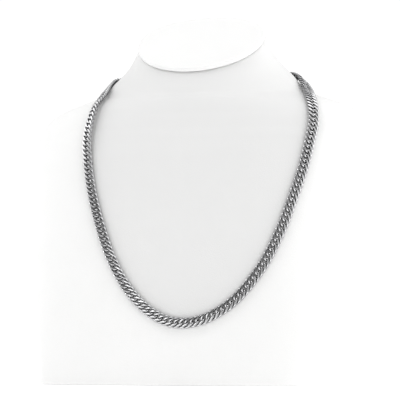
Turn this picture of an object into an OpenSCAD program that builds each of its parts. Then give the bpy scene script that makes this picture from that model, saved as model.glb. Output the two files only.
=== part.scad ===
// Double curb chain, worn on a plain neck bust.
// The chain is a closed loop that lies on the chest, over both shoulders
// and round the back of the neck, where a plain clasp closes it.
// Frame: +Z up, the bust stands on z = 0, its front faces -Y,
// and the origin is the middle of its box on the floor. Millimetres.

/* [Chain] */
// Width of the chain across its links
chain_w = 7; // [6.4:0.1:7.4]
// Diameter of the wire that the links are bent from
wire_d = 1.3; // [1.2:0.05:1.4]
// Height between the upper and the lower strands of a link
layer_gap = 1.0; // [0.9:0.05:1.05]
// Wished distance from one link to the next
pitch_wish = 3.5; // [3.3:0.05:3.8]
// How far one link reaches to each side of its middle, along the chain
link_reach = 4.15; // [3.9:0.05:4.4]

/* [Clasp] */
// Length of the clasp's plain body
clasp_len = 12; // [10:0.5:14]
// Width of the clasp's plain body
clasp_w = 5.6; // [5:0.1:6.4]
// Thickness of the clasp's plain body
clasp_t = 2.6; // [2.2:0.1:2.8]
// Wire of the two rings beside the clasp
ring_wire = 0.9; // [0.8:0.05:1.0]

/* [Bust] */
// Thickness of the cap that closes the neck
cap_t = 3.0; // [2.4:0.1:4]
// Height of the shadow gap between neck and cap
seam_gap = 0.7; // [0.5:0.05:0.9]
// How far the cap stands proud of the neck all round
cap_lip = 0.4; // [0.2:0.1:0.8]

/* [Hidden] */

// The bust, a row for each level:
// level, half width, front, side line, back, squareness of the front, slope.
// The side line is where that level is widest. From the shoulders up the
// levels tilt forward by slope, so that the top one is the sloping neck cut.
BUST = [
    [  0, 88.5,  -66,    -48, 52,   2.8,  0],
    [ 30, 95,    -63,    -37, 56,   2.7,  0],
    [ 60, 101.5, -59,    -25, 59,   2.6,  0],
    [ 90, 107,   -54,    -10, 62,   2.6,  0],
    [120, 111.5, -48,      4, 64,   2.6,  0],
    [145, 114.5, -41,     15, 66,   2.5,  0],
    [160, 114,   -35.5,   22, 66,   2.45, 0.03],
    [170, 111.5, -32,     25, 66,   2.35, 0.07],
    [176, 108.5, -30,     25, 66,   2.28, 0.09],
    [180, 104.5, -28.2, 24.7, 65.5, 2.2,  0.09],
    [184, 97.5,  -26.5, 24.2, 64.5, 2.15, 0.09],
    [189, 84,    -24.2, 23.8, 62.5, 2.1,  0.1],
    [195, 70,    -22,   24.4, 59.5, 2,    0.16],
    [203, 62.5,  -20.2, 24.4, 55,   2,    0.3],
    [214, 51.3,  -18,     23, 49.5, 2,    0.5],
    [228, 43,    -11,   21.2, 46.3, 2,    0.745]];
BACK_SQ = 2.2;   // squareness of the back of every level
TOP = 228;       // the neck cut

// The thread of the chain, a row for each guide point: level on the bust,
// angle round it (-270 is the nape, -180 the left shoulder, -90 the front,
// 0 the right shoulder), clear height over the surface, and lean, by which
// the chain's face is turned toward the inside of its loop.
ROUTE = [
    [195,    -270, 0.9,    0],
    [194.8,   -254, 0.9,    0],
    [195.5,   -239, 0.9,    0],
    [197,    -225, 0.9,    0],
    [199,  -211.5,   1,    0],
    [200.3,   -199,   2,   -3],
    [201.4, -186.5, 1.5,  -2],
    [200.3, -171.5, 0.4,  -1],
    [192.1, -155.5, 1.5, -19],
    [183.7, -146.8, 1.8, -24],
    [166,  -141.3, 1.6,  -14],
    [146,  -140.3, 0.5, -5.5],
    [124,  -138.7, 0.3,   -1],
    [101,    -137, 0.4,    2],
    [80,   -134.8, 0.3,    0],
    [61,     -129, 0.3,    0],
    [47,   -113.5, 0.3,    0],
    [39.4,    -84, 0.3,    0],
    [40.7,  -52.5, 0.3,    0],
    [52,    -36.4, 0.3,    0],
    [72,      -31, 0.3,    0],
    [95,      -30, 0.3,    0],
    [118,   -29.7, 0.3,    0],
    [138,   -28.8, 0.4,    1],
    [155,   -28.3, 0.5,  3.5],
    [169,   -26.8,   1,    7],
    [179.5,  -23.4,   1,  9.5],
    [187.3,  -17.3, 1.3, 10.5],
    [192.7,   -7.2, 1.4,   10],
    [200,     9.3, 1.6,  9.5],
    [200.8,     22, 1.8,    7],
    [199.3,   36.5, 1.1,    4],
    [197.6,     53, 0.9,    0],
    [196,      72, 0.9,    0]];

half_t = (wire_d + layer_gap) / 2;   // half the chain's thickness
half_v = (chain_w - wire_d) / 2;     // middle of the chain to a strand's end

// ---- smooth reading of the bust table --------------------------------
function dq(c, i) = (BUST[i + 1][c] - BUST[i][c]) / (BUST[i + 1][0] - BUST[i][0]);
function gap_at(i) = BUST[i + 1][0] - BUST[i][0];
function slope_at(c, i) =
    i == 0 ? dq(c, 0) :
    i == len(BUST) - 1 ? dq(c, i - 1) :
    dq(c, i - 1) * dq(c, i) <= 0 ? 0 :
    let (w1 = 2 * gap_at(i) + gap_at(i - 1), w2 = gap_at(i) + 2 * gap_at(i - 1))
        (w1 + w2) / (w1 / dq(c, i - 1) + w2 / dq(c, i));
SLOPES = [for (i = [0:len(BUST) - 1]) [for (c = [0:6]) c == 0 ? 0 : slope_at(c, i)]];
function row_of(h) = max([for (i = [0:len(BUST) - 2]) h >= BUST[i][0] ? i : 0]);
function level(h) =
    let (i = row_of(h), g = gap_at(i), t = (h - BUST[i][0]) / g,
         a = (2 * t - 3) * t * t + 1, b = ((t - 2) * t + 1) * t * g,
         c = (3 - 2 * t) * t * t, d = (t - 1) * t * t * g)
        [for (k = [0:6]) k == 0 ? h :
            a * BUST[i][k] + b * SLOPES[i][k] + c * BUST[i + 1][k] + d * SLOPES[i + 1][k]];

// point of one level at an angle, r = [level, half width, front, side, back, square, slope]
function on_level(r, ang, grow = 0) =
    let (c = cos(ang), s = sin(ang),
         f = (s < 0 ? r[3] - r[2] : r[4] - r[3]) + grow,
         n = s < 0 ? r[5] : BACK_SQ,
         q = pow(pow(abs(c) / (r[1] + grow), n) + pow(abs(s) / f, n), -1 / n))
        [q * c, r[3] + q * s, r[0] + r[6] * q * s];
function on_bust(h, ang) = on_level(level(h), ang);
function unit(v) = v / norm(v);
function out_of_bust(h, ang) =
    unit(cross(on_bust(h, ang + 0.25) - on_bust(h, ang - 0.25),
               on_bust(min(h + 0.3, TOP), ang) - on_bust(max(h - 0.3, 0), ang)));

// ---- the bust ---------------------------------------------------------
LEVELS = concat([for (z = [0:12:156]) z], [for (z = [162:4:174]) z],
                [for (z = [177:3:198]) z], [for (z = [202:4:222]) z], [225, TOP]);
// angles round one level: even at the back, and at the front closer
// together near the side line, where the low levels have their corners
BACK_N = 30;
HALF_N = 20;
function off_side(k) = 90 * pow(k / HALF_N, 1.4);
ANGLES = concat([for (k = [0:BACK_N - 1]) 180 * k / BACK_N],
                [for (k = [0:HALF_N - 1]) 180 + off_side(k)],
                [for (k = [HALF_N:-1:1]) 360 - off_side(k)]);
RING_N = len(ANGLES);

module bust_body() {
    color([0.94, 0.94, 0.93])
    polyhedron(
        points = [for (h = LEVELS) let (r = level(h))
                  for (a = ANGLES) on_level(r, a)],
        faces = concat(
            [[for (k = [0:RING_N - 1]) k]],
            [for (i = [0:len(LEVELS) - 2]) for (k = [0:RING_N - 1])
                let (a = i * RING_N + k, b = i * RING_N + (k + 1) % RING_N)
                    [a, a + RING_N, b]],
            [for (i = [0:len(LEVELS) - 2]) for (k = [0:RING_N - 1])
                let (a = i * RING_N + k, b = i * RING_N + (k + 1) % RING_N)
                    [b, a + RING_N, b + RING_N]],
            [[for (k = [0:RING_N - 1]) (len(LEVELS) - 1) * RING_N + RING_N - 1 - k]]));
}

// the neck cut: its tilt, its middle, and its outline seen square on
top_row = level(TOP);
tilt = atan(top_row[6]);
module on_cut() translate([0, top_row[3], TOP]) rotate([tilt, 0, 0]) children();
module cut_outline(inset) {
    hw = top_row[1] - inset;
    front = (top_row[3] - top_row[2]) / cos(tilt) - inset;
    back = (top_row[4] - top_row[3]) / cos(tilt) - inset;
    polygon([for (a = [0:5:355])
        let (hd = sin(a) < 0 ? front : back, n = sin(a) < 0 ? top_row[5] : BACK_SQ,
             q = pow(pow(abs(cos(a)) / hw, n) + pow(abs(sin(a)) / hd, n), -1 / n))
            [q * cos(a), q * sin(a)]]);
}

module neck_cap() {
    color([0.97, 0.97, 0.96]) on_cut() {
        translate([0, 0, seam_gap]) linear_extrude(height = cap_t) cut_outline(-cap_lip);
        // inset foot that carries the cap just over the neck
        translate([0, 0, 0.15]) linear_extrude(height = seam_gap + 0.5) cut_outline(3);
    }
}

// ---- the thread of the chain ------------------------------------------
// Each guide point is lifted off the surface by half the chain's thickness
// and its clear height. One smooth closed curve runs through these points.
function smooth(a, b, c, d, t) =
    0.5 * (2 * b + (c - a) * t + (2 * a - 5 * b + 4 * c - d) * t * t
           + (3 * b - a - 3 * c + d) * t * t * t);
// the way out of the bust and the middle of the chain at each guide point
OUT = [for (r = ROUTE) out_of_bust(r[0], r[1])];
GUIDE = [for (i = [0:len(ROUTE) - 1])
         on_bust(ROUTE[i][0], ROUTE[i][1]) + OUT[i] * (half_t + ROUTE[i][2])];
function pick(list, i) = list[(i + len(list)) % len(list)];
function between(list, i, t) =
    smooth(pick(list, i - 1), pick(list, i), pick(list, i + 1), pick(list, i + 2), t);
FINE = 10;   // steps between two guide points
// the chain's face there, leaned about its own run
FACE = [for (i = [0:len(ROUTE) - 1])
        let (side = unit(cross(OUT[i], pick(GUIDE, i + 1) - pick(GUIDE, i - 1))))
        OUT[i] * cos(ROUTE[i][3]) + side * sin(ROUTE[i][3])];
THREAD = [for (i = [0:len(ROUTE) - 1]) for (k = [0:FINE - 1])
          [between(GUIDE, i, k / FINE), unit(between(FACE, i, k / FINE))]];
THREAD_C = concat(THREAD, [THREAD[0]]);
ARC = [for (i = 0, s = 0; i < len(THREAD_C);
            s = s + (i < len(THREAD) ? norm(THREAD_C[i + 1][0] - THREAD_C[i][0]) : 0), i = i + 1) s];
loop_len = ARC[len(ARC) - 1];
AX = [for (i = [0:len(ARC) - 1]) [ARC[i], THREAD_C[i][0][0]]];
AY = [for (i = [0:len(ARC) - 1]) [ARC[i], THREAD_C[i][0][1]]];
AZ = [for (i = [0:len(ARC) - 1]) [ARC[i], THREAD_C[i][0][2]]];
NX = [for (i = [0:len(ARC) - 1]) [ARC[i], THREAD_C[i][1][0]]];
NY = [for (i = [0:len(ARC) - 1]) [ARC[i], THREAD_C[i][1][1]]];
NZ = [for (i = [0:len(ARC) - 1]) [ARC[i], THREAD_C[i][1][2]]];
function turn(s) = s - loop_len * floor(s / loop_len);
function at(s) = let (q = turn(s)) [lookup(q, AX), lookup(q, AY), lookup(q, AZ)];
function up_at(s) = let (q = turn(s)) [lookup(q, NX), lookup(q, NY), lookup(q, NZ)];
// matrix that puts x along t, z near n and the origin at p
function frame_of(p, t, n) =
    let (x = unit(t), y = unit(cross(n, x)), z = cross(x, y))
        [[x[0], y[0], z[0], p[0]], [x[1], y[1], z[1], p[1]], [x[2], y[2], z[2], p[2]], [0, 0, 0, 1]];
function frame_at(s) = frame_of(at(s), at(s + 1.5) - at(s - 1.5), up_at(s));

// ---- chain links ------------------------------------------------------
ring_mid = 2.5;                        // middle line radius of the end rings
loop_r = 1.6;                          // outer radius of a standing eye
hole_r = 0.95;                         // radius of the hole in an eye
eye_t = 1.4;                           // thickness of an eye
eye_at = clasp_len / 2 + loop_r - 0.2; // clasp middle to its eye
tab_len = 4;
tab_eye = tab_len / 2 + loop_r - 0.3;  // tab middle to its eye
tab_s = eye_at + 2 * ring_mid + tab_eye;     // clasp middle to a tab's middle
chain_s0 = tab_s + tab_len / 2 + 0.2;        // where the links begin
chain_len = loop_len - 2 * chain_s0;
link_count = round((chain_len - 2 * link_reach - wire_d) / pitch_wish) + 1;
pitch = (chain_len - 2 * link_reach - wire_d) / (link_count - 1);
function link_s(i) = chain_s0 + link_reach + wire_d / 2 + i * pitch;
SEGMENTS = 10;
function first_link(k) = round(k * link_count / SEGMENTS);

// one strand of a link, between two points of its ring, on its own layer
module strand(a, b, z) {
    d = b - a;
    l = norm(d) + wire_d * 0.55;
    translate([(a[0] + b[0]) / 2, (a[1] + b[1]) / 2, z])
        rotate([0, 0, atan2(d[1], d[0])])
            rotate([0, 90, 0]) rotate([0, 0, 22.5])
                cylinder(d = wire_d, h = l, center = true, $fn = 8);
}

// one link: a closed ring of four strands, two over and two under its
// neighbours. The upper strands are the slanted bright ones.
module link() {
    e = [link_reach, 0]; m = [0, half_v];
    strand(-e, m, layer_gap / 2);
    strand(-m, e, layer_gap / 2);
    strand(m, e, -layer_gap / 2);
    strand(-e, -m, -layer_gap / 2);
}

// a run of links, joined where their strands cross. The links that reach
// in from the next run end at the parting plane, so that the runs keep a gap.
module run(k) {
    i0 = first_link(k); i1 = first_link(k + 1) - 1;
    s0 = k == 0 ? chain_s0 - 2 : link_s(i0) - pitch / 2 + 0.1;
    s1 = k == SEGMENTS - 1 ? loop_len - chain_s0 + 2 : link_s(i1) + pitch / 2 - 0.1;
    color([0.72, 0.73, 0.75]) intersection() {
        union()
            for (i = [max(0, i0 - 1):min(link_count - 1, i1 + 1)])
                multmatrix(frame_at(link_s(i))) link();
        multmatrix(frame_at(s0)) translate([0, -70, -70]) cube([110, 140, 140]);
        multmatrix(frame_at(s1)) translate([-110, -70, -70]) cube([110, 140, 140]);
    }
}

// ---- the closing ------------------------------------------------------
// an eye that stands on edge, for a ring that lies flat
module eye(x) {
    translate([x, 0, 0]) rotate([90, 0, 0]) difference() {
        cylinder(r = loop_r, h = eye_t, center = true, $fn = 32);
        cylinder(r = hole_r, h = 3, center = true, $fn = 32);
    }
}
module slab(l, w, t, r) {
    linear_extrude(height = t, center = true) union() {
        square([l, w - 2 * r], center = true);
        square([l - 2 * r, w], center = true);
        for (a = [-1, 1]) for (b = [-1, 1])
            translate([a * (l / 2 - r), b * (w / 2 - r)]) circle(r = r, $fn = 32);
    }
}
module clasp() {
    color([0.70, 0.71, 0.73]) multmatrix(frame_at(0)) union() {
        slab(clasp_len, clasp_w, clasp_t, 1.2);
        eye(eye_at);
        eye(-eye_at);
    }
}
// the eye nearest the clasp, on each chain end and on the clasp itself
function tab_frame(side) = frame_at(side > 0 ? tab_s : loop_len - tab_s);
function axis_x(m) = [m[0][0], m[1][0], m[2][0]];
function axis_z(m) = [m[0][2], m[1][2], m[2][2]];
function origin(m) = [m[0][3], m[1][3], m[2][3]];
function clasp_eye(side) = origin(frame_at(0)) + side * eye_at * axis_x(frame_at(0));
function chain_eye(side) = origin(tab_frame(side)) - side * tab_eye * axis_x(tab_frame(side));
module end_tab(side) {
    color([0.70, 0.71, 0.73]) multmatrix(tab_frame(side)) union() {
        slab(tab_len, chain_w - 0.4, 2 * half_t, 0.9);
        eye(-side * tab_eye);
    }
}
module end_ring(side) {
    a = clasp_eye(side); b = chain_eye(side);
    color([0.75, 0.76, 0.78])
        multmatrix(frame_of((a + b) / 2, b - a, axis_z(frame_at(0)) + axis_z(tab_frame(side))))
            rotate_extrude($fn = 64) translate([norm(b - a) / 2, 0])
                circle(d = ring_wire, $fn = 24);
}

bust_body();
neck_cap();
run(0);  // links_01
run(1);  // links_02
run(2);  // links_03
run(3);  // links_04
run(4);  // links_05
run(5);  // links_06
run(6);  // links_07
run(7);  // links_08
run(8);  // links_09
run(9);  // links_10
end_tab(1);  // end_tab_left
end_tab(-1);  // end_tab_right
end_ring(1);  // end_ring_left
end_ring(-1);  // end_ring_right
clasp();
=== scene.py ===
import math

import bpy
import numpy as np
from mathutils import Matrix, Vector


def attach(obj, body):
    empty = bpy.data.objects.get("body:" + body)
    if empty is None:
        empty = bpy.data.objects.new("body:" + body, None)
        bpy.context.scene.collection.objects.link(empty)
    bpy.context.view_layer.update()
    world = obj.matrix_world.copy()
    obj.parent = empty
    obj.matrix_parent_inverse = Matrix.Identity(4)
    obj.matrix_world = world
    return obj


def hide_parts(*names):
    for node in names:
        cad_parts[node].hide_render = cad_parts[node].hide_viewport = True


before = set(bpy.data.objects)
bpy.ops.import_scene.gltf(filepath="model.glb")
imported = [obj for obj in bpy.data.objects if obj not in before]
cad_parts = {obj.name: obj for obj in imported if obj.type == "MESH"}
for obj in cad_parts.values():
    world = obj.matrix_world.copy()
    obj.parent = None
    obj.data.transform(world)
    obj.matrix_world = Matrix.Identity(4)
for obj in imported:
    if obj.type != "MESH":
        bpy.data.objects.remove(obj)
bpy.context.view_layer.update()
scene = bpy.context.scene
MM = 0.001

# ---------------------------------------------------------------- camera
# The photograph's view: 15 degrees to the right of the front, low, tilted
# up a little.
cam_data = bpy.data.cameras.new("camera")
cam = bpy.data.objects.new("camera", cam_data)
scene.collection.objects.link(cam)
scene.camera = cam
CAM_AZ, CAM_UP = math.radians(15.0), math.radians(4.2)
cam.location = (1.25 * math.sin(CAM_AZ), -1.25 * math.cos(CAM_AZ) + 0.016, 0.030)
look = Vector((-math.sin(CAM_AZ) * math.cos(CAM_UP), math.cos(CAM_AZ) * math.cos(CAM_UP), math.sin(CAM_UP)))
cam.rotation_mode = "QUATERNION"
cam.rotation_quaternion = look.to_track_quat("-Z", "Y")
cam_data.sensor_width = 36.0
cam_data.lens = 168.4
cam_data.clip_start = 0.05
cam_data.clip_end = 60.0

# ---------------------------------------------------------------- the bust's form
# level, half width, front, side line, back, squareness of the front, slope (mm)
BUST = np.array([
    [0, 88.5, -66, -48, 52, 2.8, 0],
    [30, 95, -63, -37, 56, 2.7, 0],
    [60, 101.5, -59, -25, 59, 2.6, 0],
    [90, 107, -54, -10, 62, 2.6, 0],
    [120, 111.5, -48, 4, 64, 2.6, 0],
    [145, 114.5, -41, 15, 66, 2.5, 0],
    [160, 114, -35.5, 22, 66, 2.45, 0.03],
    [170, 111.5, -32, 25, 66, 2.35, 0.07],
    [176, 108.5, -30, 25, 66, 2.28, 0.09],
    [180, 104.5, -28.2, 24.7, 65.5, 2.2, 0.09],
    [184, 97.5, -26.5, 24.2, 64.5, 2.15, 0.09],
    [189, 84, -24.2, 23.8, 62.5, 2.1, 0.1],
    [195, 70, -22, 24.4, 59.5, 2, 0.16],
    [203, 62.5, -20.2, 24.4, 55, 2, 0.3],
    [214, 51.3, -18, 23, 49.5, 2, 0.5],
    [228, 43, -11, 21.2, 46.3, 2, 0.745]], float)
BACK_SQ = 2.2
TOP = 228.0

# level on the bust, angle round it, clear height over the surface (mm), and
# lean of the chain's face toward the inside of its loop (degrees)
ROUTE = np.array([
    [195, -270, 0.9, 0], [194.8, -254, 0.9, 0], [195.5, -239, 0.9, 0], [197, -225, 0.9, 0],
    [199, -211.5, 1, 0], [200.3, -199, 2, -3], [201.4, -186.5, 1.5, -2], [200.3, -171.5, 0.4, -1],
    [192.1, -155.5, 1.5, -19], [183.7, -146.8, 1.8, -24], [166, -141.3, 1.6, -14], [146, -140.3, 0.5, -5.5],
    [124, -138.7, 0.3, -1], [101, -137, 0.4, 2], [80, -134.8, 0.3, 0], [61, -129, 0.3, 0],
    [47, -113.5, 0.3, 0], [39.4, -84, 0.3, 0], [40.7, -52.5, 0.3, 0], [52, -36.4, 0.3, 0],
    [72, -31, 0.3, 0], [95, -30, 0.3, 0], [118, -29.7, 0.3, 0], [138, -28.8, 0.4, 1],
    [155, -28.3, 0.5, 3.5], [169, -26.8, 1, 7], [179.5, -23.4, 1, 9.5], [187.3, -17.3, 1.3, 10.5],
    [192.7, -7.2, 1.4, 10], [200, 9.3, 1.6, 9.5], [200.8, 22, 1.8, 7], [199.3, 36.5, 1.1, 4],
    [197.6, 53, 0.9, 0], [196, 72, 0.9, 0]], float)

CHAIN_W, WIRE_D, LAYER_GAP, PITCH_WISH, LINK_REACH = 7.0, 1.3, 1.0, 3.5, 4.15
CLASP_LEN, RING_MID, LOOP_R, TAB_LEN = 12.0, 2.5, 1.6, 4.0
CAP_T, SEAM_GAP, CAP_LIP = 3.0, 0.7, 0.4
SEGMENTS, FINE = 10, 10
HALF_T = (WIRE_D + LAYER_GAP) / 2


def column_slopes():
    z = BUST[:, 0]
    h = np.diff(z)
    out = np.zeros_like(BUST)
    for c in range(1, 7):
        d = np.diff(BUST[:, c]) / h
        m = np.zeros(len(z))
        m[0], m[-1] = d[0], d[-1]
        for i in range(1, len(z) - 1):
            if d[i - 1] * d[i] > 0:
                w1, w2 = 2 * h[i] + h[i - 1], h[i] + 2 * h[i - 1]
                m[i] = (w1 + w2) / (w1 / d[i - 1] + w2 / d[i])
        out[:, c] = m
    return out


SLOPES = column_slopes()


def level(h):
    h = np.clip(np.asarray(h, float), 0, TOP)
    i = np.clip(np.searchsorted(BUST[:, 0], h, side="right") - 1, 0, len(BUST) - 2)
    g = BUST[i + 1, 0] - BUST[i, 0]
    t = (h - BUST[i, 0]) / g
    a, b = 2 * t**3 - 3 * t**2 + 1, (t**3 - 2 * t**2 + t) * g
    c, d = 3 * t**2 - 2 * t**3, (t**3 - t**2) * g
    return [a * BUST[i, k] + b * SLOPES[i, k] + c * BUST[i + 1, k] + d * SLOPES[i + 1, k] for k in range(1, 7)]


def on_bust(h, ang, grow=0.0):
    """A point of the bust at a level and an angle (radians), in mm."""
    width, front, side, back, sq, slope = level(h)
    c, s = np.cos(ang), np.sin(ang)
    f = np.where(s < 0, side - front, back - side) + grow
    n = np.where(s < 0, sq, BACK_SQ)
    q = ((np.abs(c) / (width + grow)) ** n + (np.abs(s) / f) ** n) ** (-1 / n)
    return np.stack([q * c, side + q * s, np.clip(h, 0, TOP) + slope * q * s], -1)


def unit(v):
    return v / np.linalg.norm(v, axis=-1, keepdims=True)


def out_of_bust(h, ang):
    e = math.radians(0.25)
    around = on_bust(h, ang + e) - on_bust(h, ang - e)
    upward = on_bust(np.minimum(h + 0.3, TOP), ang) - on_bust(np.maximum(h - 0.3, 0), ang)
    return unit(np.cross(around, upward))


# ---------------------------------------------------------------- the thread of the chain
def smooth(a, b, c, d, t):
    return 0.5 * (2 * b + (c - a) * t + (2 * a - 5 * b + 4 * c - d) * t * t + (3 * b - a - 3 * c + d) * t**3)


def make_thread():
    n = len(ROUTE)
    ang = np.radians(ROUTE[:, 1])
    out = out_of_bust(ROUTE[:, 0], ang)
    guide = on_bust(ROUTE[:, 0], ang) + out * (HALF_T + ROUTE[:, 2])[:, None]
    side = unit(np.cross(out, np.roll(guide, -1, 0) - np.roll(guide, 1, 0)))
    lean = np.radians(ROUTE[:, 3])[:, None]
    face = out * np.cos(lean) + side * np.sin(lean)
    places, normals = [], []
    for i in range(n):
        near = [(i + d) % n for d in (-1, 0, 1, 2)]
        for k in range(FINE):
            places.append(smooth(*guide[near], k / FINE))
            normals.append(unit(smooth(*face[near], k / FINE)))
    places.append(places[0])
    normals.append(normals[0])
    places, normals = np.array(places), np.array(normals)
    arc = np.concatenate([[0], np.cumsum(np.linalg.norm(np.diff(places, axis=0), axis=1))])
    return places, normals, arc


PLACES, NORMALS, ARC = make_thread()
LOOP = ARC[-1]


def at(s):
    s = s % LOOP
    return np.array([np.interp(s, ARC, PLACES[:, k]) for k in range(3)])


def up_at(s):
    s = s % LOOP
    return np.array([np.interp(s, ARC, NORMALS[:, k]) for k in range(3)])


def frame_of(p, t, n):
    """Rows: travel, across, outward; and the place, in mm."""
    x = unit(t)
    y = unit(np.cross(n, x))
    return np.stack([x, y, np.cross(x, y)]), p


def frame_at(s):
    return frame_of(at(s), at(s + 1.5) - at(s - 1.5), up_at(s))


EYE_AT = CLASP_LEN / 2 + LOOP_R - 0.2
TAB_EYE = TAB_LEN / 2 + LOOP_R - 0.3
TAB_S = EYE_AT + 2 * RING_MID + TAB_EYE
CHAIN_S0 = TAB_S + TAB_LEN / 2 + 0.2
CHAIN_LEN = LOOP - 2 * CHAIN_S0
LINKS = int(math.floor((CHAIN_LEN - 2 * LINK_REACH - WIRE_D) / PITCH_WISH + 0.5)) + 1
PITCH = (CHAIN_LEN - 2 * LINK_REACH - WIRE_D) / (LINKS - 1)


def link_s(i):
    return CHAIN_S0 + LINK_REACH + WIRE_D / 2 + i * PITCH


def first_link(k):
    return int(math.floor(k * LINKS / SEGMENTS + 0.5))


# ---------------------------------------------------------------- small helpers
def new_object(name, verts, faces, smooth_all=True):
    me = bpy.data.meshes.new(name)
    me.from_pydata([tuple(v) for v in verts], [], [tuple(f) for f in faces])
    me.validate()
    me.update()
    if smooth_all:
        me.polygons.foreach_set("use_smooth", [True] * len(me.polygons))
    ob = bpy.data.objects.new(name, me)
    scene.collection.objects.link(ob)
    return ob


def grid_mesh(name, rings, close_first=True, close_last=True):
    """A closed skin over rings of points (a list of equal, closed loops in mm)."""
    rings = [np.asarray(r) for r in rings]
    n = len(rings[0])
    verts = np.concatenate(rings) * MM
    faces = []
    for i in range(len(rings) - 1):
        a = i * n + np.arange(n)
        b = i * n + (np.arange(n) + 1) % n
        faces += np.stack([a, b, b + n, a + n], 1).tolist()
    verts = verts.tolist()
    if close_first:
        c = len(verts)
        verts.append((rings[0].mean(0) * MM).tolist())
        faces += [[c, (k + 1) % n, k] for k in range(n)]
    if close_last:
        c = len(verts)
        verts.append((rings[-1].mean(0) * MM).tolist())
        o = (len(rings) - 1) * n
        faces += [[c, o + k, o + (k + 1) % n] for k in range(n)]
    return new_object(name, verts, faces)


class Nodes:
    """Short way to write a material's nodes."""

    def __init__(self, name):
        self.mat = bpy.data.materials.new(name)
        self.mat.use_nodes = True
        self.tree = self.mat.node_tree
        self.bsdf = self.tree.nodes["Principled BSDF"]

    def add(self, kind, **sockets):
        node = self.tree.nodes.new(kind)
        for key, value in sockets.items():
            self.put(node, key, value)
        return node

    def put(self, node, key, value):
        socket = node.inputs[int(key[1:])] if key[0] == "i" and key[1:].isdigit() else node.inputs[key.replace("_", " ")]
        if isinstance(value, bpy.types.NodeSocket):
            self.tree.links.new(value, socket)
        else:
            socket.default_value = value

    def where(self, scale=(1, 1, 1)):
        coord = self.add("ShaderNodeTexCoord")
        m = self.add("ShaderNodeMapping")
        self.tree.links.new(coord.outputs["Object"], m.inputs["Vector"])
        m.inputs["Scale"].default_value = scale
        return m.outputs["Vector"]

    def noise(self, scale, detail=4.0, rough=0.55, vector=None):
        n = self.add("ShaderNodeTexNoise", Scale=scale, Detail=detail, Roughness=rough)
        if vector is not None:
            self.tree.links.new(vector, n.inputs["Vector"])
        return n.outputs["Fac"]

    def math(self, op, a, b=0.0, c=0.0, clamp=False):
        n = self.add("ShaderNodeMath", i0=a, i1=b, i2=c)
        n.operation = op
        n.use_clamp = clamp
        return n.outputs[0]

    def remap(self, value, a, b, c, d):
        n = self.add("ShaderNodeMapRange", i0=value, i1=a, i2=b, i3=c, i4=d)
        n.clamp = True
        return n.outputs[0]

    def mix(self, fac, a, b):
        n = self.add("ShaderNodeMix")
        n.data_type = "RGBA"
        self.put(n, "i0", fac)
        self.put(n, "i6", a)
        self.put(n, "i7", b)
        return n.outputs[2]

    def bump(self, height, strength, distance, normal=None):
        n = self.add("ShaderNodeBump", Strength=strength, Distance=distance, Height=height)
        if normal is not None:
            self.tree.links.new(normal, n.inputs["Normal"])
        return n.outputs["Normal"]

    def attribute(self, name):
        n = self.add("ShaderNodeAttribute")
        n.attribute_name = name
        return n.outputs["Fac"]


# ---------------------------------------------------------------- materials
def leatherette(name, base, dark, grain=900.0, soft=0.58, loop_shade_colour=None):
    """Matt white leatherette: pebbled grain, a little tone and sheen change.
    Where the loop's mask attribute is 1 it is mixed toward a greyer colour: painted shade."""
    m = Nodes(name)
    p = m.where()
    cells = m.add("ShaderNodeTexVoronoi", Scale=grain)
    cells.feature = "DISTANCE_TO_EDGE"
    m.tree.links.new(p, cells.inputs["Vector"])
    pebble = m.remap(cells.outputs["Distance"], 0.0, 0.22, 0.0, 1.0)
    fine = m.noise(grain * 2.6, 3.0, 0.6, p)
    cloud = m.noise(14.0, 3.0, 0.5, p)
    tone = m.remap(cloud, 0.3, 0.7, 0.0, 0.55)
    crease = m.remap(pebble, 0.0, 1.0, 0.35, 0.0)
    colour = m.mix(m.math("ADD", tone, crease, clamp=True), base, dark)
    if loop_shade_colour is not None:
        # painted shade: inside the chain's loop the colour is mixed toward a greyer one, broken a little by the cloud
        # noise
        cloudy = m.remap(cloud, 0.3, 0.7, 0.9, 1.0)
        colour = m.mix(m.math("MULTIPLY", m.attribute("loop_shade_mask"), cloudy), colour, loop_shade_colour)
    m.put(m.bsdf, "Base_Color", colour)
    m.put(m.bsdf, "Roughness", m.remap(m.noise(60.0, 4.0, 0.6, p), 0.3, 0.7, soft - 0.05, soft + 0.08))
    height = m.math("MULTIPLY_ADD", fine, 0.35, pebble)
    m.put(m.bsdf, "Normal", m.bump(height, 0.22, 0.00012))
    m.bsdf.inputs["Specular IOR Level"].default_value = 0.32
    return m.mat


def steel(name, bright, dark, residue_and_painted_shade=True, rough=0.10):
    """Polished steel: fine wheel marks, worn gloss, and darker colour. With the links' mask, this is residue together
    with painted shade and painted dark reflection in the gaps and on the wire flanks. Without the mask, it is only
    scattered darker spots.
    """
    m = Nodes(name)
    p = m.where()
    stretched = m.where((1.0, 1.0, 5.0))
    spots = m.noise(900.0, 5.0, 0.6, p)
    marks = m.noise(2600.0, 3.0, 0.7, stretched)
    if residue_and_painted_shade:
        # painted shade and residue: the links' mask darkens the gaps, the deep wires and the flanks, with random
        # spots added
        depth = m.attribute("residue_and_painted_shade")
        depth = m.math("ADD", depth, m.math("MULTIPLY", m.math("SUBTRACT", spots, 0.5), 0.25), clamp=True)
    else:
        depth = m.remap(spots, 0.45, 0.8, 0.0, 0.35)
    m.put(m.bsdf, "Base_Color", m.mix(depth, bright, dark))
    gloss = m.remap(marks, 0.3, 0.7, rough - 0.04, rough + 0.05)
    m.put(m.bsdf, "Roughness", m.math("MULTIPLY_ADD", depth, 0.22, gloss))
    m.put(m.bsdf, "Normal", m.bump(marks, 0.06, 0.00002))
    m.bsdf.inputs["Metallic"].default_value = 1.0
    return m.mat


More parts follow.
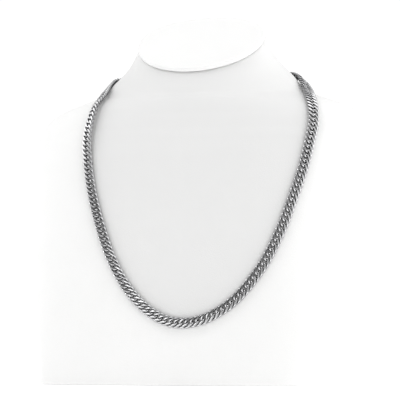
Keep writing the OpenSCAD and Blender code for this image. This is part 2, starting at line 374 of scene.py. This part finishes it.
# the third colour is the painted shade inside the chain's loop
SKIN = leatherette("bust_leatherette", (0.93, 0.93, 0.925, 1), (0.89, 0.89, 0.885, 1), loop_shade_colour=(0.79, 0.79, 0.787, 1))
CAP_SKIN = leatherette("cap_leatherette", (0.93, 0.93, 0.925, 1), (0.89, 0.89, 0.885, 1), grain=1100.0, soft=0.52)
# the near-black second colour is the painted shade and residue on the links
METAL = steel("chain_steel", (0.77, 0.77, 0.78, 1), (0.03, 0.03, 0.034, 1))
CLASP_METAL = steel("clasp_steel", (0.82, 0.82, 0.83, 1), (0.45, 0.45, 0.46, 1), residue_and_painted_shade=False, rough=0.16)

# ---------------------------------------------------------------- bust
BACK_N, HALF_N = 120, 76


def bust_angles():
    off = 90 * (np.arange(HALF_N + 1) / HALF_N) ** 1.4
    a = np.concatenate([180 * np.arange(BACK_N) / BACK_N, 180 + off[:-1], 360 - off[:0:-1]])
    return np.radians(a)


def make_bust():
    ang = bust_angles()
    edge = 1.6          # rounding of the base's edge
    rim = 1.1           # rounding of the neck cut's edge
    within = 0.02       # the skin lies this far inside the solid's own surface
    rings = []
    for a in np.linspace(0, math.pi / 2, 7):
        inset = edge * (1 - math.sin(a))
        lift = edge * (1 - math.cos(a))
        r = on_bust(lift, ang, -inset - within)
        r[:, 2] = lift
        rings.append(r)
    body = np.concatenate([np.arange(edge + 1.2, 150, 1.5), np.arange(150.5, TOP - rim - 0.3, 1.2)])
    for h in body:
        rings.append(on_bust(h, ang, -within))
    for a in np.linspace(0, math.pi / 2, 6):
        inset = rim * (1 - math.cos(a))
        h = TOP - rim * (1 - math.sin(a))
        rings.append(on_bust(h, ang, -inset - within))
    ob = grid_mesh("bust_skin", rings)
    # painted shade: the neck and chest inside the chain's loop are painted a little greyer
    verts = np.zeros(len(ob.data.vertices) * 3, np.float32)
    ob.data.vertices.foreach_get("co", verts)
    verts = verts.reshape(-1, 3) / MM
    inside = np.zeros(len(verts))
    run = unit(np.roll(PLACES[:-1], -1, 0) - np.roll(PLACES[:-1], 1, 0))
    inward = np.cross(NORMALS[:-1], run)
    for k in range(0, len(verts), 4000):
        away = verts[k:k + 4000, None, :] - PLACES[None, :-1]
        near = (away ** 2).sum(2).argmin(1)
        side = (away[np.arange(len(near)), near] * inward[near]).sum(1)
        inside[k:k + 4000] = np.clip(side / 4.0 + 0.5, 0, 1)
    inside[(verts[:, 1] > 0) & (verts[:, 2] < 150)] = 0      # the lower back
    ob.data.attributes.new("loop_shade_mask", "FLOAT", "POINT").data.foreach_set("value", inside.astype(np.float32))
    ob.data.materials.append(SKIN)
    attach(ob, "root")
    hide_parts("bust_body")
    return ob


# the neck cut's plane
TOP_ROW = [float(v) for v in level(TOP)]
TILT = math.atan(TOP_ROW[5])


def on_cut(points):
    """Points (x, y in the cut's plane, z square to it, mm) to the bust's frame."""
    p = np.asarray(points, float)
    c, s = math.cos(TILT), math.sin(TILT)
    return np.stack([p[:, 0], TOP_ROW[2] + p[:, 1] * c - p[:, 2] * s, TOP + p[:, 1] * s + p[:, 2] * c], -1)


def cut_ring(inset, z, n=180):
    a = np.radians(np.arange(n) * 360 / n)
    hw = TOP_ROW[0] - inset
    front = (TOP_ROW[2] - TOP_ROW[1]) / math.cos(TILT) - inset
    back = (TOP_ROW[3] - TOP_ROW[2]) / math.cos(TILT) - inset
    hd = np.where(np.sin(a) < 0, front, back)
    sq = np.where(np.sin(a) < 0, TOP_ROW[4], BACK_SQ)
    q = ((np.abs(np.cos(a)) / hw) ** sq + (np.abs(np.sin(a)) / hd) ** sq) ** (-1 / sq)
    return on_cut(np.stack([q * np.cos(a), q * np.sin(a), np.full(n, z)], -1))


def make_cap():
    r = 0.9
    rings = [cut_ring(3.0, 0.15), cut_ring(3.0, SEAM_GAP)]
    for a in np.linspace(0, math.pi / 2, 6):
        rings.append(cut_ring(-CAP_LIP + r * (1 - math.sin(a)), SEAM_GAP + r * (1 - math.cos(a))))
    for a in np.linspace(0, math.pi / 2, 6):
        rings.append(cut_ring(-CAP_LIP + r * (1 - math.cos(a)), SEAM_GAP + CAP_T - r * (1 - math.sin(a))))
    for f in (6.0, 14.0, 22.0, 30.0):
        rings.append(cut_ring(f, SEAM_GAP + CAP_T))
    ob = grid_mesh("cap_skin", rings)
    ob.data.materials.append(CAP_SKIN)
    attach(ob, "root")
    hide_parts("neck_cap")
    return ob


# ---------------------------------------------------------------- links
RING_STEPS = 56                    # steps round a link
TOP_N, SIDE_N = 4, 6               # steps over the polished flat, and down one flank
WIRE_STEPS = 2 * (TOP_N + SIDE_N)
TWIST = 0.16                       # height of the wire's middle for each mm2 of u times v
LOZENGE = 0.13                     # how far the long sides are drawn in, so the strands run straight
FLAT = HALF_T                      # the flats are polished down to this height
DOME = 0.02                        # and fall away to both edges of the chain


def hash01(i, k):
    x = math.sin(i * 12.9898 + k * 78.233 + 4.1) * 43758.5453
    return x - math.floor(x)


def link_shape():
    """One link in its own frame (mm): points, the per-point mask of residue and painted shade, and whether a rail
    edge is crisp.
    """
    a, b, r = LINK_REACH, (CHAIN_W - WIRE_D) / 2, WIRE_D / 2
    t = 2 * math.pi * np.arange(RING_STEPS * 8) / (RING_STEPS * 8)
    drawn = 1 - LOZENGE * np.sin(2 * t) ** 2
    c = np.stack([a * np.cos(t) * drawn, b * np.sin(t) * drawn, np.zeros(len(t))], -1)
    c[:, 2] = -TWIST * c[:, 0] * c[:, 1]
    # even steps along the wire
    run = np.concatenate([[0], np.cumsum(np.linalg.norm(np.diff(np.vstack([c, c[:1]]), axis=0), axis=1))])
    want = run[-1] * np.arange(RING_STEPS) / RING_STEPS
    c = np.stack([np.interp(want, run, np.append(c[:, k], c[0, k])) for k in range(3)], -1)
    tan = unit(np.roll(c, -1, 0) - np.roll(c, 1, 0))
    z = np.array([0, 0, 1.0])
    n1 = unit(z - tan * tan[:, 2:3])
    n2 = np.cross(tan, n1)
    lim = math.radians(68)
    points, residue_and_painted_shade, crisp_top, crisp_low = [], [], [], []
    for j in range(RING_STEPS):
        hi = (FLAT - DOME * c[j, 1] ** 2 - c[j, 2]) / (r * n1[j, 2])
        lo = (-FLAT - c[j, 2]) / (r * n1[j, 2])
        top = min(math.asin(max(-1, min(1, hi))), lim)
        low = max(math.asin(max(-1, min(1, lo))), -lim)
        crisp_top.append(hi < math.sin(lim))
        crisp_low.append(lo > -math.sin(lim))
        phi = np.concatenate([
            top + (math.pi - 2 * top) * np.arange(TOP_N) / TOP_N,
            math.pi - top + (top - low) * np.arange(SIDE_N) / SIDE_N,
            math.pi - low + (math.pi + 2 * low) * np.arange(TOP_N) / TOP_N,
            2 * math.pi + low + (top - low) * np.arange(SIDE_N) / SIDE_N])
        face = np.cos(phi)[:, None] * n2[j] + np.sin(phi)[:, None] * n1[j]
        p = c[j] + r * face
        flat = FLAT - DOME * p[:, 1] ** 2
        ground = p[:, 2] > flat - 1e-6
        ground[[0, TOP_N]] |= crisp_top[-1]
        p[:, 2] = np.clip(p[:, 2], -FLAT, flat)
        points.append(p)
        # the wire's flanks and deep parts are painted dark, less so on the chain's outer edges. This is partly
        # residue in the gaps and partly painted shade and painted dark reflection. The polished flats keep the
        # steel's own colour.
        flank = np.clip((0.93 - face[:, 2]) / 0.45, 0, 1)
        deep = np.clip((0.95 - p[:, 2]) / 1.3, 0, 0.75)
        outer = np.clip((np.abs(p[:, 1]) - 2.7) / 0.5, 0, 1) * np.clip(face[:, 1] * np.sign(p[:, 1]), 0, 1)
        painted_shade_and_residue = np.maximum(flank, deep) * (1 - 0.5 * outer)
        residue_and_painted_shade.append(np.where(ground, 0.0, painted_shade_and_residue))
    return np.array(points), np.array(residue_and_painted_shade), np.array(crisp_top), np.array(crisp_low)


LINK, RESIDUE_AND_PAINTED_SHADE, CRISP_TOP, CRISP_LOW = link_shape()


def make_run(k):
    first, last = first_link(k), first_link(k + 1)
    nv = RING_STEPS * WIRE_STEPS
    verts, residue_and_painted_shade = [], []
    for i in range(first, last):
        axes, place = frame_at(link_s(i))
        # links never lie quite alike
        tilt = [math.radians((hash01(i, q) - 0.5) * 2 * m) for q, m in ((1, 1.6), (2, 1.4), (3, 1.2))]
        rot = np.array(Matrix.Rotation(tilt[0], 3, "X") @ Matrix.Rotation(tilt[1], 3, "Y") @ Matrix.Rotation(tilt[2], 3, "Z"))
        p = LINK.reshape(-1, 3) @ rot.T
        verts.append(place + p @ axes)
        residue_and_painted_shade.append(RESIDUE_AND_PAINTED_SHADE.reshape(-1))
    verts = np.concatenate(verts) * MM
    residue_and_painted_shade = np.concatenate(residue_and_painted_shade)
    j, q = np.meshgrid(np.arange(RING_STEPS), np.arange(WIRE_STEPS), indexing="ij")
    j2, q2 = (j + 1) % RING_STEPS, (q + 1) % WIRE_STEPS
    one = np.stack([j * WIRE_STEPS + q, j * WIRE_STEPS + q2, j2 * WIRE_STEPS + q2, j2 * WIRE_STEPS + q], -1).reshape(-1, 4)
    faces = np.concatenate([one + n * nv for n in range(last - first)])
    name = "chain_run_%02d" % (k + 1)
    me = bpy.data.meshes.new(name)
    me.vertices.add(len(verts))
    me.vertices.foreach_set("co", verts.ravel())
    me.loops.add(faces.size)
    me.loops.foreach_set("vertex_index", faces.ravel().astype(np.int32))
    me.polygons.add(len(faces))
    me.polygons.foreach_set("loop_start", (np.arange(len(faces)) * 4).astype(np.int32))
    me.update(calc_edges=True)
    me.validate()
    me.polygons.foreach_set("use_smooth", [True] * len(me.polygons))
    # per vertex: the mask of residue and painted shade
    at_r = me.attributes.new("residue_and_painted_shade", "FLOAT", "POINT")
    at_r.data.foreach_set("value", residue_and_painted_shade.astype(np.float32))
    # crisp rails where a polished flat meets the round wire
    e = np.zeros(len(me.edges) * 2, np.int32)
    me.edges.foreach_get("vertices", e)
    e = e.reshape(-1, 2) % nv
    ring, rail = e // WIRE_STEPS, e % WIRE_STEPS
    along = rail[:, 0] == rail[:, 1]
    t_rail = np.isin(rail[:, 0], [0, TOP_N])
    l_rail = np.isin(rail[:, 0], [TOP_N + SIDE_N, 2 * TOP_N + SIDE_N])
    crisp = along & ((t_rail & CRISP_TOP[ring[:, 0]] & CRISP_TOP[ring[:, 1]])
                     | (l_rail & CRISP_LOW[ring[:, 0]] & CRISP_LOW[ring[:, 1]]))
    at_s = me.attributes.new("sharp_edge", "BOOLEAN", "EDGE")
    at_s.data.foreach_set("value", crisp)
    ob = bpy.data.objects.new(name, me)
    scene.collection.objects.link(ob)
    ob.data.materials.append(METAL)
    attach(ob, "root")
    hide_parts("links_%02d" % (k + 1))
    return ob


# ---------------------------------------------------------------- closing
def softened(node, name, width, mat):
    """The CAD solid's own form with its edges softened, as one polished piece."""
    import bmesh
    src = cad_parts[node]
    me = src.data.copy()
    me.name = name
    me.materials.clear()
    ob = bpy.data.objects.new(name, me)
    scene.collection.objects.link(ob)
    bm = bmesh.new()
    bm.from_mesh(me)
    bmesh.ops.remove_doubles(bm, verts=bm.verts, dist=1e-6)
    bmesh.ops.dissolve_limit(bm, angle_limit=math.radians(0.5), verts=bm.verts, edges=bm.edges)
    for f in bm.faces:
        f.smooth = True
    bm.to_mesh(me)
    bm.free()
    if width > 0:
        b = ob.modifiers.new("soft edge", "BEVEL")
        b.width = width
        b.segments = 3
        b.limit_method = "ANGLE"
        b.angle_limit = math.radians(40)
        b.harden_normals = True
    me.materials.append(mat)
    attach(ob, "root")
    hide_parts(node)
    return ob


make_bust()
make_cap()
for k in range(SEGMENTS):
    make_run(k)
softened("clasp", "clasp_body", 0.00035, CLASP_METAL)
softened("end_tab_left", "tab_left", 0.0003, CLASP_METAL)
softened("end_tab_right", "tab_right", 0.0003, CLASP_METAL)
softened("end_ring_left", "ring_left", 0.0, CLASP_METAL)
softened("end_ring_right", "ring_right", 0.0, CLASP_METAL)

# ---------------------------------------------------------------- stage and light
m = Nodes("floor_paper")
p = m.where()
m.put(m.bsdf, "Base_Color", m.mix(m.noise(3.0, 2.0, 0.5, p), (0.97, 0.97, 0.97, 1), (0.95, 0.95, 0.95, 1)))
m.bsdf.inputs["Roughness"].default_value = 0.9
m.bsdf.inputs["Specular IOR Level"].default_value = 0.1
# a light table: it glows a little, so that it runs into the white wall
m.bsdf.inputs["Emission Color"].default_value = (1, 1, 1, 1)
m.bsdf.inputs["Emission Strength"].default_value = 0.22
FLOOR_R = 12.0
ring = [(FLOOR_R * math.cos(a), FLOOR_R * math.sin(a), -0.0001) for a in np.radians(np.arange(0, 360, 5))]
floor = new_object("floor", [(0, 0, -0.0001)] + ring, [(0, k + 1, (k + 1) % 72 + 1) for k in range(72)], False)
floor.data.materials.append(m.mat)

WALL = 1.66
# the darker parts of the studio round the white walls: which way it lies,
# how high, where its edge fades, how bright it is next to the walls
DARK = [
    # az, up, from, to, tone
    (-13, 42, 0.50, 0.95, 0.10),      # the ceiling over the photographer
    (180, 5, 0.30, 0.95, 0.10),     # the wall behind the bust
]
world = bpy.data.worlds.new("studio")
scene.world = world
world.use_nodes = True
tree = world.node_tree
bg = tree.nodes["Background"]
coord = tree.nodes.new("ShaderNodeTexCoord")
light_now = tree.nodes.new("ShaderNodeValue").outputs[0]
light_now.default_value = WALL
for az, up, edge_from, edge_to, tone in DARK:
    az, up = math.radians(az), math.radians(up)
    toward = tree.nodes.new("ShaderNodeVectorMath")
    toward.operation = "DOT_PRODUCT"
    toward.inputs[1].default_value = (math.sin(az) * math.cos(up), -math.cos(az) * math.cos(up), math.sin(up))
    dusk = tree.nodes.new("ShaderNodeMapRange")
    dusk.inputs["From Min"].default_value = edge_from
    dusk.inputs["From Max"].default_value = edge_to
    dusk.inputs["To Min"].default_value = 1.0
    dusk.inputs["To Max"].default_value = tone
    dim = tree.nodes.new("ShaderNodeMath")
    dim.operation = "MULTIPLY"
    tree.links.new(coord.outputs["Generated"], toward.inputs[0])
    tree.links.new(toward.outputs["Value"], dusk.inputs["Value"])
    tree.links.new(light_now, dim.inputs[0])
    tree.links.new(dusk.outputs["Result"], dim.inputs[1])
    light_now = dim.outputs[0]
path = tree.nodes.new("ShaderNodeLightPath")
seen = tree.nodes.new("ShaderNodeMix")
seen.inputs["B"].default_value = 1.05
tree.links.new(path.outputs["Is Camera Ray"], seen.inputs["Factor"])
tree.links.new(light_now, seen.inputs["A"])
tree.links.new(seen.outputs["Result"], bg.inputs["Strength"])
bg.inputs["Color"].default_value = (1.0, 1.0, 1.0, 1)


def softbox(name, place, aim, size, power):
    d = bpy.data.lights.new(name, "AREA")
    d.shape = "RECTANGLE"
    d.size, d.size_y = size
    d.energy = power
    o = bpy.data.objects.new(name, d)
    o.location = place
    o.rotation_mode = "QUATERNION"
    o.rotation_quaternion = (Vector(aim) - Vector(place)).to_track_quat("-Z", "Y")
    scene.collection.objects.link(o)
    return o


softbox("key", (-0.48, -1.35, 0.45), (0, -0.02, 0.1), (0.35, 0.25), 0.5)
softbox("top", (-0.65, -0.5, 1.5), (0, -0.04, 0.1), (0.35, 0.35), 3.5)
softbox("side", (1.5, 0.35, 0.7), (0.03, 0, 0.16), (0.8, 0.8), 3.4)

scene.view_settings.view_transform = "Standard"
scene.view_settings.look = "None"
